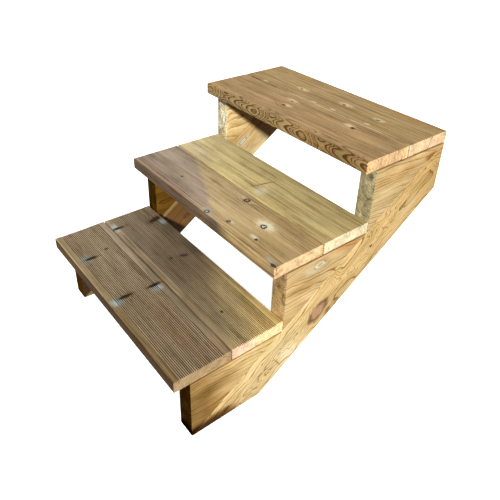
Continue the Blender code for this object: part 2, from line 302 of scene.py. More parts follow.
def bracket_section(sign):
    """(x, z) points of the folded sheet from its heel: one leg down the block, the other under the tread."""
    leg, sheet, bend, edge = BRACKET_LEG, BRACKET_SHEET, BRACKET_BEND, BRACKET_ROUND
    section = arc(-bend, -bend, bend, 0, 90, 8)
    section += arc(-leg + edge, -edge, edge, 90, 180, 3)
    section += arc(-leg + edge, -sheet + edge, edge, 180, 270, 3)
    section += arc(-bend, -bend, bend - sheet, 90, 0, 6)
    section += arc(-sheet + edge, -leg + edge, edge, 180, 270, 3)
    section += arc(-edge, -leg + edge, edge, 270, 360, 3)
    return [(sign * x, z) for x, z in section]


def drawn_in(value, middle, inset):
    """A coordinate moved towards the sheet's middle, except where it is in the sheet's thickness."""
    off = value - middle
    return value - math.copysign(min(inset, abs(off)), off) if abs(off) > 1 else value


def bracket_mesh(node, sign):
    """The folded angle between its two ends, with the ends' corners eased."""
    low, high = [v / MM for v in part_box(node)]
    heel = Vector(((high if sign > 0 else low).x, 0, high.z))
    section = bracket_section(sign)
    half, ease = BRACKET_SHEET / 2, BRACKET_EASE
    ends = [(low.y, ease), (low.y + ease, 0.0), ((low.y + high.y) / 2, 0.0)]
    ends += [(high.y - ease, 0.0), (high.y, ease)]
    verts = []
    for y, inset in ends:
        for x, z in section:
            place = Vector((drawn_in(x, -sign * half, inset), y, drawn_in(z, -half, inset)))
            verts.append((heel + place) * MM)
    obj = mesh_object(node + "_zinc", verts, tube_faces(len(section), len(ends)))
    outward_and_triangulated(obj)
    return obj


# ---- timber meshes ---------------------------------------------------------------------------------------
def dent(x, y, z, deepest=WOBBLE):
    """A shallow irregular dent, in millimetres, that depends only on the place."""
    coarse = noise.noise(Vector((x / DENT_LONG, y, z)))
    fine = noise.noise(Vector((x / DENT_SHORT, y + 7.3, z)))
    return deepest * max(0.0, 0.25 + 0.75 * coarse + 0.5 * fine)


def arc(cx, cy, radius, start, end, segments):
    angles = [math.radians(start + (end - start) * i / segments) for i in range(segments + 1)]
    return [(cx + radius * math.cos(a), cy + radius * math.sin(a)) for a in angles]


def tread_section(depth, thick, reeds_up):
    """(across, through, edge) points round a deck board, edge 1 in the middle of a rounded corner."""
    a, h, r = depth / 2, thick / 2, BOARD_ARRIS
    section = []

    def corner(cx, cy, start):
        for index, (y, z) in enumerate(arc(cx, cy, r, start, start + 90, CORNER_STEPS)):
            section.append((y, z, 1.0 if 0 < index < CORNER_STEPS else 0.35))

    def flat(y0, y1, z):
        count = max(2, int(abs(y1 - y0) / FLAT_STEP))
        for i in range(1, count):
            section.append((y0 + (y1 - y0) * i / count, z, 0.0))

    corner(a - r, -h + r, -90)
    corner(a - r, h - r, 0)
    groove = REED_PITCH - REED_LAND
    last = REED_MARGIN + (REED_COUNT - 1) * REED_PITCH + groove
    flat(a - r, -a + last, h)
    for reed in reversed(range(REED_COUNT)):
        start = -a + REED_MARGIN + reed * REED_PITCH
        for share, drop in GROOVE:
            section.append((start + share * groove, h - drop * REED_DEPTH, 0.0))
        section.append((start - 0.5 * REED_LAND, h, 0.0))
    section.pop()
    flat(-a + REED_MARGIN, -a + r, h)
    corner(-a + r, h - r, 90)
    corner(-a + r, -h + r, 180)
    flat(-a + r, a - r, -h)
    if not reeds_up:
        section = [(y, -z, edge) for y, z, edge in reversed(section)]
    return section


def tread_mesh(node, reeds_up, seed):
    low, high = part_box(node)
    centre = (low + high) / 2
    length, depth, thick = [(high[k] - low[k]) / MM for k in range(3)]
    section = tread_section(depth, thick, reeds_up)
    half = length / 2
    inner = half - SAWN_EDGE
    count = int(2 * inner / STATION)
    stations = [-half] + [-inner + 2 * inner * i / count for i in range(count + 1)] + [half]
    verts = []
    for x in stations:
        inset = SAWN_EDGE if abs(x) == half else 0.0
        for y, z, edge in section:
            worn = edge * dent(x, seed + (y > 0), seed + 2 * (z > 0))
            bulge = noise.noise(Vector((x / CREST_LONG, y / CREST_WIDE, seed)))
            crest = CREST * max(0.0, bulge) if edge == 0 else 0.0
            shrink_y = 1 - (inset + 0.5 * worn) / (depth / 2)
            shrink_z = 1 - (inset + 0.5 * worn + crest) / (thick / 2)
            verts.append(centre + Vector((x, y * shrink_y, z * shrink_z)) * MM)
    obj = mesh_object(node + "_timber", verts, tube_faces(len(section), len(stations)))
    outward_and_triangulated(obj)
    return obj


def offset_corner(before, corner, after, first, second):
    """Where two sides of a polygon meet after moving inwards by first and second millimetres."""
    d1 = (corner - before).normalized()
    d2 = (after - corner).normalized()
    n1, n2 = Vector((-d1.y, d1.x)), Vector((-d2.y, d2.x))
    cross = d1.x * d2.y - d1.y * d2.x
    if abs(cross) < 1e-6:
        return corner + n1 * first
    p1, p2 = corner + n1 * first, corner + n2 * second
    along = ((p2 - p1).x * d2.y - (p2 - p1).y * d2.x) / cross
    return p1 + d1 * along


def perimeter(outline, radii, inset_share, seed, x):
    """Points round a convex outline moved inwards by inset_share of each side's edge radius, with dents."""
    n = len(outline)
    corners = []
    for i in range(n):
        first, second = radii[i - 1] * inset_share, radii[i] * inset_share
        corners.append(offset_corner(outline[i - 1], outline[i], outline[(i + 1) % n], first, second))
    points = []
    for i in range(n):
        a, b = corners[i], corners[(i + 1) % n]
        length = (outline[(i + 1) % n] - outline[i]).length
        count = max(2, int(length / STATION))
        ease = min(0.25, 0.8 / length)
        shares = [ease] + [k / count for k in range(1, count)] + [1 - ease]
        inward = Vector((-(b - a).y, (b - a).x)).normalized()
        for share in shares:
            worn = dent(share * length, seed + i, 3.1 * x) * min(1.0, radii[i] / ARRIS) * inset_share
            points.append((a.lerp(b, share) + inward * worn, radii[i]))
    return points


def plank_mesh(name, outline, radii, x_low, x_high, seed):
    """A convex (y, z) outline carried across X, with each side's edges rounded to its radius."""
    centre, half = (x_low + x_high) / 2, (x_high - x_low) / 2
    turns = [math.radians(a) for a in (90, 60, 30, 0)]
    layers = [(-1, a) for a in turns] + [(1, a) for a in reversed(turns)]
    verts = []
    for side, angle in layers:
        for point, radius in perimeter(outline, radii, 1 - math.cos(angle), seed, side):
            x = centre + side * (half - radius * (1 - math.sin(angle)))
            verts.append(Vector((x, point.x, point.y)) * MM)
    obj = mesh_object(name, verts, tube_faces(len(verts) // len(layers), len(layers)))
    outward_and_triangulated(obj)
    return obj


def slope_start():
    """(y, z) in millimetres where the diagonal's upper edge would meet the floor."""
    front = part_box("step_block_left_lower")[0].y
    return Vector((front / MM, 0.0))


def stringer_board_outline(node):
    """The diagonal board's side view: toe, sole, lower edge, plumb rear and upper edge."""
    low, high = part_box(node)
    start = slope_start()
    tan, width = math.tan(SLOPE), STRINGER_WIDTH / math.cos(SLOPE)
    toe = low.y / MM
    rear = high.y / MM
    heel = start.x + width / tan
    return [
        Vector((toe, 0.0)),
        Vector((heel, 0.0)),
        Vector((rear, (rear - start.x) * tan - width)),
        Vector((rear, (rear - start.x) * tan)),
        Vector((toe + TOE_TAPER, (toe + TOE_TAPER - start.x) * tan)),
        Vector((toe, (toe - start.x) * tan)),
    ], [SAWN_EDGE, ARRIS, SAWN_EDGE, ARRIS, TOE_EDGE, SAWN_EDGE]


def step_block_outline(node):
    """The block's side view: front foot, lower end of the rear, upper end of the rear and front top."""
    low, high = [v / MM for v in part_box(node)]
    corners = [(low.y, low.z), (high.y, high.z - FEATHER), (high.y, high.z), (low.y, high.z)]
    return [Vector(corner) for corner in corners], [SAWN_EDGE, FEATHER_EDGE, SAWN_EDGE, SAWN_EDGE]


def side_planes(outline):
    """Unit normals and offsets of the outline's sides, pointing out."""
    planes = []
    for i, point in enumerate(outline):
        along = (outline[(i + 1) % len(outline)] - point).normalized()
        normal = Vector((along.y, -along.x))
        planes.append((normal, normal.dot(point)))
    return planes


def set_grain(obj, origin, along, across, through):
    """Stores millimetres along, across and through the board on every point."""
    axes = np.array([along, across, through], float)
    local = (points_of(obj.data) - np.array(origin)) @ axes.T / MM
    attribute = obj.data.attributes.new("grain", "FLOAT_VECTOR", "POINT")
    attribute.data.foreach_set("vector", local.astype(np.float32).ravel())
    return local


def set_edge(obj, distances):
    """Stores how far a point stands in from the nearest flat face, as 0 on a face and 1 on a rounded edge."""
    share = np.clip((distances - EDGE_START) / EDGE_SPAN, 0, 1) * (distances < EDGE_REACH)
    attribute = obj.data.attributes.new("edge", "FLOAT", "POINT")
    attribute.data.foreach_set("value", share.astype(np.float32))


# ---- node graphs -----------------------------------------------------------------------------------------
class Field:
    """A number that varies over the surface, with arithmetic that adds Math nodes."""

    def __init__(self, graph, socket):
        self.graph, self.socket = graph, socket

    def math(self, operation, *others):
        return self.graph.math(operation, self, *others)

    def __add__(self, other):
        return self.math("ADD", other)

    def __sub__(self, other):
        return self.math("SUBTRACT", other)

    def __mul__(self, other):
        return self.math("MULTIPLY", other)

    def __truediv__(self, other):
        return self.math("DIVIDE", other)

    __radd__ = __add__
    __rmul__ = __mul__

    def __rsub__(self, other):
        return self.graph.math("SUBTRACT", other, self)

    def __neg__(self):
        return self.math("MULTIPLY", -1.0)

    def squared(self):
        return self.math("MULTIPLY", self)

    def root(self):
        return self.math("SQRT")

    def fraction(self):
        return self.math("FRACT")

    def size(self):
        return self.math("ABSOLUTE")

    def fall(self):
        """exp(-x)"""
        return (-self).math("EXPONENT")

    def rise(self, start, end):
        """0 below start, 1 above end, smooth between; start may be larger than end."""
        return self.graph.rise(self, start, end)

    def most(self, other):
        return self.math("MAXIMUM", other)


class Graph:
    """Builds one material's nodes."""

    def __init__(self, name):
        self.material = bpy.data.materials.new(name)
        self.material.use_nodes = True
        self.tree = self.material.node_tree
        self.shader = self.tree.nodes["Principled BSDF"]

    def put(self, socket, value):
        if isinstance(value, Field):
            value = value.socket
        if isinstance(value, bpy.types.NodeSocket):
            self.tree.links.new(value, socket)
        elif isinstance(value, tuple) and len(value) == 3 and socket.type == "RGBA":
            socket.default_value = (*value, 1.0)
        else:
            socket.default_value = value

    def add(self, kind, inputs, **settings):
        node = self.tree.nodes.new(kind)
        for key, value in settings.items():
            setattr(node, key, value)
        for key, value in inputs.items():
            self.put(node.inputs[key], value)
        return node

    def math(self, operation, *values):
        node = self.add("ShaderNodeMath", dict(enumerate(values)), operation=operation)
        return Field(self, node.outputs[0])

    def rise(self, value, start, end):
        inputs = {"Value": value, "From Min": start, "From Max": end}
        node = self.add("ShaderNodeMapRange", inputs, interpolation_type="SMOOTHSTEP")
        return Field(self, node.outputs["Result"])

    def split(self, vector):
        node = self.add("ShaderNodeSeparateXYZ", {0: vector})
        return [Field(self, out) for out in node.outputs]

    def attribute(self, name, output):
        node = self.add("ShaderNodeAttribute", {}, attribute_name=name)
        return node.outputs[output]

    def vector(self, x, y, z):
        return self.add("ShaderNodeCombineXYZ", {0: x, 1: y, 2: z}).outputs[0]

    def noise(self, x, y, z, detail=2.0, rough=0.5):
        """Noise from about -1 to 1."""
        inputs = {"Vector": self.vector(x, y, z), "Scale": 1.0, "Detail": detail, "Roughness": rough}
        node = self.add("ShaderNodeTexNoise", inputs)
        return (Field(self, node.outputs["Fac"]) - 0.5) * 2.0

    def noise_line(self, x, detail=1.0):
        """Noise along one number, from about -1 to 1."""
        inputs = {"W": x, "Scale": 1.0, "Detail": detail}
        node = self.add("ShaderNodeTexNoise", inputs, noise_dimensions="1D")
        return (Field(self, node.outputs["Fac"]) - 0.5) * 2.0

    def palette(self, value, stops):
        """A colour read from (place, colour) stops."""
        node = self.add("ShaderNodeValToRGB", {"Fac": value})
        elements = node.color_ramp.elements
        while len(elements) < len(stops):
            elements.new(0.5)
        for element, (place, colour) in zip(elements, stops):
            element.position = place
            element.color = (*colour, 1.0)
        return node.outputs["Color"]

    def curve(self, value, stops):
        """A number read from (place, height) stops."""
        return Field(self, self.palette(value, [(place, (height,) * 3) for place, height in stops]))

    def mix(self, share, first, second, blend="MIX"):
        """A colour between two colours."""
        inputs = {"Factor": share, 6: first, 7: second}
        node = self.add("ShaderNodeMix", {}, data_type="RGBA", blend_type=blend)
        for key, value in inputs.items():
            self.put(node.inputs[key], value)
        return node.outputs[2]

    def tinted(self, colour, tint, share=1.0):
        """A colour multiplied by a tint, by a share from 0 to 1."""
        return self.mix(share, colour, self.mix(1.0, colour, tint, "MULTIPLY"))

    def shade(self, colour, value):
        """A colour times a number."""
        node = self.add("ShaderNodeVectorMath", {0: colour, "Scale": value}, operation="SCALE")
        return node.outputs[0]

    def bump(self, height, strength, distance):
        inputs = {"Height": height, "Strength": strength, "Distance": distance}
        return self.add("ShaderNodeBump", inputs).outputs["Normal"]

    def surface(self, inputs):
        """Sets the shader's inputs and returns the material."""
        for key, value in inputs.items():
            self.put(self.shader.inputs[key], value)
        return self.material


# ---- timber ----------------------------------------------------------------------------------------------
def knot(at, size, **more):
    """A knot at (along, across) with its half lengths. Lean is its drift with depth, reach its pull."""
    shape = dict(turn=0.0, lean=(0.12, -0.2), reach=2.2, ragged=0.42, rings=3.0)
    shares = dict(bark=0.95, split=0.6, shadow=0.35, halo_amount=0.8)
    tones = dict(light=(0.20, 0.10, 0.04), dark=(0.06, 0.028, 0.013), ring_tone=(0.03, 0.018, 0.012))
    return {"at": at, "size": size, **shape, **shares, **tones, **more}


def fleck(at, size):
    """A tiny knot that shows as a pale fleck of the given size."""
    return knot(at, (2, 2), light=HONEY, bark=0.1, halo=(HONEY, (0, 0), size))


def torn(at, size, off, bloom, amount):
    """A dark knot broken by the reeds, with a copper bloom beside it."""
    return knot(at, size, light=BLACK, ragged=0.7, shadow=0.8, halo=(BLUE, off, bloom), halo_amount=amount)


def beside(line, turn, soft, tint, **more):
    """A stain or a painted shade on one side of a line through a point, turned by degrees. Soft is the width
    of its fading edge, and it lies on the line's left, or on its right if soft is negative."""
    return {"line": line, "turn": turn, "soft": soft, "tint": tint, "ragged": 6.0, **more}


def spot(at, size, tint, soft, **more):
    """A stain or a painted shade round (along, across, through) with its half lengths."""
    return {"spot": at, "size": size, "tint": tint, "soft": soft, "ragged": 0.35, **more}


def knot_fields(g, s, t, w, seed, knots):
    """For each knot: spec, distance from its middle, pull on the grain, offset, own axes and roughness."""
    found = []
    for index, spec in enumerate(knots):
        ks, kt = spec["at"]
        rs, rt = spec["size"]
        lean_s, lean_t = spec["lean"]
        turn = math.radians(spec["turn"])
        ds = s - ks - w * lean_s
        dt = t - kt - w * lean_t
        x = (ds * math.cos(turn) + dt * math.sin(turn)) / rs
        y = (dt * math.cos(turn) - ds * math.sin(turn)) / rt
        rough = g.noise(x * 1.3 + seed + index, y * 1.3, w / 20, detail=3.0, rough=0.6)
        side = y.size().math("POWER", spec["pointed"]) if "pointed" in spec else y.squared()
        d = (x.squared() + side).root() + rough * spec["ragged"]
        px, py = ds / (rs * spec["reach"] * 1.5 + 4), dt / (rt * spec["reach"] + 2)
        pull = (px.squared() + py.squared()).fall()
        found.append((spec, d, pull, dt, x, y, rough))
    return found


def paint_halo(g, colour, spec, s, t, rough, fibre):
    """The pale or green bloom beside a knot."""
    tone, (off_s, off_t), (rs, rt) = spec["halo"]
    x = (s - spec["at"][0] - off_s) / rs
    y = (t - spec["at"][1] - off_t) / rt
    d = (x.squared() + y.squared()).root() + rough * 0.5
    return g.mix(d.rise(1.25, 0.15) * (0.8 + fibre * 0.5) * spec["halo_amount"], colour, tone)


def paint_knots(g, colour, knots, s, t, fibre):
    """Halo, shadow, ringed core, bark and split of each knot; also returns how deep the surface sinks."""
    sunk = None
    for spec, d, _, _, x, y, rough in knots:
        if "halo" in spec:
            colour = paint_halo(g, colour, spec, s, t, rough, fibre)
        colour = g.tinted(colour, KNOT_SHADOW, d.rise(2.3, 1.0) * spec["shadow"])
        rings = g.curve((d * spec["rings"]).fraction(), KNOT_RING)
        core = d.rise(1.06, 0.86)
        inside = g.mix((rings * 0.75 + fibre * 0.3), spec["light"], spec["dark"])
        if "centre" in spec:
            inside = g.mix(d.rise(0.66, 0.36), inside, spec["centre"])
        if "tips" in spec:
            inside = g.mix((x.size() + rough * 0.3).rise(0.42, 0.95) * 0.85, inside, spec["tips"])
        colour = g.mix(core, colour, inside)
        broken = (rough * 2.4 + 0.75).rise(0.1, 0.7)
        bark = (d - 0.98).size().rise(0.3, 0.04) * broken * spec["bark"]
        colour = g.mix(bark, colour, spec["ring_tone"])
        split = (y + x * 0.4 + rough * 0.5).size().rise(0.16, 0.03) * d.rise(0.95, 0.6) * spec["split"]
        colour = g.mix(split, colour, KNOT_SPLIT)
        low = core * 0.4 + bark * 0.8 + split
        sunk = low if sunk is None else sunk + low
    return colour, sunk


def latewood(g, look, seed, s, t, w, knots):
    """How dark the growth ring is, with the grain parting round the knots."""
    across, swell = t, None
    for _, _, pull, dt, _, _, _ in knots:
        across = across - dt * pull * 0.85
        swell = pull if swell is None else swell + pull
    low = g.noise(s / look["wave"] + seed, t / 70, w / 70, detail=1.0)
    ripple = g.noise(s / look["ripple_length"] + seed, t / 20 + 4.1, w / 20, detail=2.0)
    (pith_t, pith_w), (tilt_t, tilt_w) = look["pith"], look["tilt"]
    y = across - pith_t - s * tilt_t
    z = w - pith_w - s * tilt_w
    radius = (y.squared() + z.squared()).root() + low * look["bend"] + ripple * look["ripple"]
    if swell is not None:
        radius = radius + swell * look["ring"] * 0.8
    if "eyes" in look:
        rise, length, first, reach = look["eyes"]
        turn = (s - first + low * 60.0) * (2 * math.pi / length)
        wave = (turn - turn.math("COSINE") * EYE_SKEW).math("COSINE")
        radius = radius - wave * rise * ((t + BOARD_HALF_DEPTH) / reach).fall()
    count = radius / look["ring"]
    count = count + g.noise_line(count * 0.31 + seed) * 1.3
    place = count.fraction()
    late = g.curve(place, look["profile"])
    late = late * (0.75 + g.noise_line((count - place) * 0.83 + seed * 2) * 0.6)
    flat = (z.squared() / (radius.squared() + 1.0)).squared()
    late = late * (1.0 - flat.rise(0.2, 1.0) * look["fade"])
    return late * (1.0 + t.rise(-64.0, -70.0) * 1.5) if "eyes" in look else late


def paint_faces(g, colour, look, seed, t, w, cloud):
    """Rubbed edges, the tint of each side, which paints light and shade by the way a face points as well as
    its own colour, and the blotches on sawn ends.
    """
    edge = Field(g, g.attribute("edge", "Fac"))
    colour = g.tinted(colour, RUBBED, edge * (0.55 + cloud * 0.8).rise(0.1, 1.0) * RUB)
    nx, ny, nz = g.split(g.add("ShaderNodeNewGeometry", {}).outputs["Normal"])
    facing = {"+x": nx, "-x": -nx, "+y": ny, "-y": -ny, "+z": nz, "-z": -nz}
    # each side's tint paints light and shade by the way the face points, along with the face's own colour
    for side, tint in look["sides"].items():
        colour = g.tinted(colour, tint, facing[side].rise(0.45, 0.85))
    if look["mottle"] is None:
        return colour
    axis, depth = look["mottle"]
    ends = (ny if axis == "y" else nx).size().rise(0.6, 0.9)
    fine = g.noise(t / 5 + seed, w / 4, seed, detail=3.0, rough=0.6)
    blotch = fine + g.noise(t / 30, w / 14 + seed, 0.5, detail=2.0)
    return g.mix(ends, colour, g.shade(colour, (1.0 + blotch * depth).most(0.25)))


def timber(name, look):
    """A softwood material: growth rings round a pith axis, fibres, knots, stains, painted light and shade,
    and worn edges.
    """
    g = Graph(name)
    look = {**TIMBER_DEFAULTS, **look}
    seed = look["seed"] * SEED_STEP
    s, t, w = g.split(g.attribute("grain", "Vector"))
    knots = knot_fields(g, s, t, w, seed, look["knots"])
    late = latewood(g, look, seed, s, t, w, knots)

    # fibres, streaks, bands and clouds, each about the given millimetres long and wide
    fibre = g.noise(s / 15 + seed, t / 0.8, w / 0.8, detail=3.0, rough=0.65)
    streak = g.noise(s / 130 + seed, t / 2.8, w / 2.8, detail=2.0)
    band = g.noise(s / 260 + seed, t / 11 + 2.0, w / 11, detail=2.0)
    cloud = g.noise(s / 90 + seed, t / 34, w / 34, detail=3.0)
    contrast = look["contrast"]
    shade = 0.5 + contrast * 0.13 - late * contrast * 0.5
    for layer, share in ((fibre, "fibre"), (streak, "streak"), (band, "band"), (cloud, "cloud")):
        shade = shade + layer * look[share]
    stops = [(place, tuple(c * k for c, k in zip(look["tone"], scale))) for place, scale in look["palette"]]

    colour = drift(g, g.palette(shade, stops), look, s, t, cloud)
    for patch in look["patches"]:
        colour = paint_patch(g, colour, patch, s, t, w, fibre, cloud)
    warmth = g.mix(cloud * 0.6 + streak * 0.4 + 0.5, look["cool"], look["warm"])
    colour = g.mix(1.0, colour, warmth, "MULTIPLY")
    colour, sunk = paint_knots(g, colour, knots, s, t, fibre)
    colour = paint_faces(g, colour, look, seed, t, w, cloud)
    if "reeds" in look:
        colour = paint_grooves(g, colour, look, t, w, fibre)

    height = late * 0.55 + fibre * 0.55 + streak * 0.25
    roughness = 0.72 + fibre * 0.08 - late * 0.08
    if sunk is not None:
        height = height - sunk * 0.8
        roughness = roughness - sunk * 0.1
    inputs = {"Base Color": colour, "Roughness": roughness, "Specular IOR Level": look["gloss"]}
    return g.surface({**inputs, "Normal": g.bump(height, *TIMBER_BUMP)})


def paint_grooves(g, colour, look, t, w, fibre):
    """Darkens the bottoms of the grooves of a reeded face."""
    half_depth, half_thick, upwards = look["reeds"]
    first = REED_MARGIN - half_depth
    last = first + REED_COUNT * REED_PITCH
    turn = (t - (first + 0.5 * (REED_PITCH - REED_LAND))) / REED_PITCH + 0.5
    inside = (turn.fraction() - 0.5).size().rise(0.30, 0.16)
    depth = half_thick - w * upwards
    grooved = t.rise(first - 0.6, first) * t.rise(last, last - 1.5)
    groove_darkening = inside * depth.rise(0.15, 1.1) * depth.rise(REED_DEPTH + 1.2, REED_DEPTH + 0.6) * grooved
    return g.mix(groove_darkening * (look["groove_darkening"] + fibre * 0.3), colour, GROOVE_DARK)


def drift(g, colour, look, s, t, cloud):
    """Tone that changes slowly along a piece and across it; on some pieces it paints light and shade."""
    for key, value in (("along", s), ("across", t)):
        if key not in look:
            continue
        low, high = look[key][0][0], look[key][-1][0]
        place = (value + cloud * DRIFT_WANDER - low) / (high - low)
        stops = [((at - low) / (high - low), tuple(c / DRIFT_TOP for c in tint)) for at, tint in look[key]]
        colour = g.mix(1.0, colour, g.shade(g.palette(place, stops), DRIFT_TOP), "MULTIPLY")
    return colour


def paint_patch(g, colour, patch, s, t, w, fibre, cloud):
    """Multiplies the colour inside a stain or a painted shade made by spot() or beside()."""
    if "spot" in patch:
        (cs, ct, cw), (rs, rt, rw) = patch["spot"], patch["size"]
        x, y, z = (s - cs) / rs, (t - ct) / rt, (w - cw) / rw
        d = (x.squared() + y.squared() + z.squared()).root()
        share = (d + cloud * patch["ragged"]).rise(1.15, 1.15 - patch["soft"])
    else:
        cs, ct = patch["line"]
        turn = math.radians(patch["turn"])
        d = (s - cs) * -math.sin(turn) + (t - ct) * math.cos(turn)
        share = (d + cloud * patch["ragged"] + fibre * 0.8).rise(0.0, patch["soft"])
    for key, value in (("only_s", s), ("only_t", t), ("only_w", w)):
        if key in patch:
            share = share * value.rise(*patch[key])
    return g.tinted(colour, patch["tint"], share)


def galvanised(name, seed):
    """Hot-dipped zinc: spangle crystals, dull patches and fine scratches."""
    g = Graph(name)
    place = g.add("ShaderNodeTexCoord", {}).outputs["Object"]
    cells = g.add("ShaderNodeTexVoronoi", {"Vector": place, "Scale": 150.0, "Randomness": 1.0}, feature="F1")
    tone = Field(g, g.add("ShaderNodeSeparateColor", {0: cells.outputs["Color"]}).outputs[0])
    x, y, z = g.split(place)
    dull = g.noise(x * 60 + seed, y * 60, z * 60, detail=4.0)
    scratch = g.noise(x * 900 + seed, y * 60, z * 900, detail=2.0)
    colour = g.mix(tone, ZINC_DARK, ZINC_LIGHT)
    colour = g.mix(dull.rise(0.0, 0.6) * 0.5, colour, ZINC_DULL)
    roughness = 0.36 + tone * 0.14 + dull * 0.12 + scratch * 0.05
    normal = g.bump(tone * 0.3 + scratch * 0.5 + dull * 0.4, 0.4, 0.0001)
    return g.surface({"Base Color": colour, "Metallic": 1.0, "Roughness": roughness, "Normal": normal})


def passivated(name):
    """Yellow zinc on the screws, rubbed to bare steel in places."""
    g = Graph(name)
    x, y, z = g.split(g.add("ShaderNodeTexCoord", {}).outputs["Object"])
    stain = g.noise(x * 160, y * 160, z * 160, detail=4.0)
    grit = g.noise(x * 2200, y * 2200, z * 2200, detail=2.0)
    colour = g.mix(stain.rise(-0.3, 0.5), YELLOW_ZINC, BARE_STEEL)
    colour = g.mix(grit.rise(0.25, 0.7) * 0.5, colour, GRIT)
    roughness = 0.34 + stain * 0.12 + grit * 0.06
    normal = g.bump(grit + stain * 0.5, 0.3, 0.00005)
    return g.surface({"Base Color": colour, "Metallic": 1.0, "Roughness": roughness, "Normal": normal})


# ---- how each piece looks --------------------------------------------------------------------------------
ZINC_DARK, ZINC_LIGHT, ZINC_DULL = (0.52, 0.54, 0.56), (0.70, 0.71, 0.72), (0.42, 0.43, 0.44)
YELLOW_ZINC, BARE_STEEL, GRIT = (0.62, 0.52, 0.28), (0.60, 0.58, 0.52), (0.25, 0.21, 0.15)

PALE = (0.68, 0.64, 0.46)  # dried resin and treatment salts round a knot
HONEY = (0.60, 0.48, 0.27)  # the same on the darker upper tread
BLUE = (0.33, 0.41, 0.40)  # copper bloom on the weathered lower tread
BLACK = (0.022, 0.015, 0.010)
# near-black tint at the bottoms of the reeds' grooves
GROOVE_DARK = (0.035, 0.026, 0.016)
WET, WETTEST = (0.26, 0.17, 0.06), (0.30, 0.24, 0.18)  # tints of the damp foot

KNOT_RING = ((0.0, 0.0), (0.6, 0.35), (0.9, 1.0), (1.0, 0.1))  # darkness through one ring of a knot
KNOT_SHADOW = (0.62, 0.52, 0.42)
KNOT_SPLIT = (0.018, 0.011, 0.008)

# latewood's darkness through one ring
SOFT_LATEWOOD = ((0.0, 0.0), (0.42, 0.06), (0.72, 0.42), (0.9, 1.0), (0.96, 0.8), (1.0, 0.0))
SHARP_LATEWOOD = ((0.0, 0.0), (0.55, 0.04), (0.78, 0.30), (0.9, 1.0), (0.97, 0.9), (1.0, 0.0))

# shade of the wood, from latewood to the palest earlywood, as shares of a piece's own tone
BOARD_PALETTE = (
    (0.0, (0.30, 0.22, 0.14)),
    (0.25, (0.62, 0.54, 0.43)),
    (0.5, (1.0, 1.0, 1.0)),
    (0.75, (1.30, 1.34, 1.42)),
    (1.0, (1.55, 1.68, 1.95)),
)
GOLDEN_PALETTE = (
    (0.0, (0.40, 0.26, 0.13)),
    (0.25, (0.68, 0.56, 0.40)),
    (0.5, (1.0, 1.0, 1.0)),
    (0.75, (1.30, 1.38, 1.56)),
    (1.0, (1.50, 1.70, 2.20)),
)

TIMBER_BUMP = (0.75, 0.00045)  # strength, and height in metres
RUB, RUBBED = 0.4, (1.5, 1.4, 1.3)  # how far edges are rubbed paler, and the tint there
SEED_STEP = 5.37  # distance in the noise between two seeds
EYE_SKEW = 0.6  # how far the eyes in the grain lean to one end of their arcs
BOARD_HALF_DEPTH = 70.0  # about where the front edge of a tread board lies across it
DRIFT_TOP = 2.0  # the largest tint a drift can hold
DRIFT_WANDER = 16.0  # millimetres by which a drift wanders

# where a stain or a painted shade starts and is full: through a piece, or across it
REEDED_FACE, INNER_FACE, FRONT_FACE = (13.0, 14.4), (12.0, 20.0), (-66, -69.5)
SEAT_SHADOW = beside((0, 163), 0, 2.0, (0.42, 0.32, 0.20), ragged=1.0)  # under the end of a tread
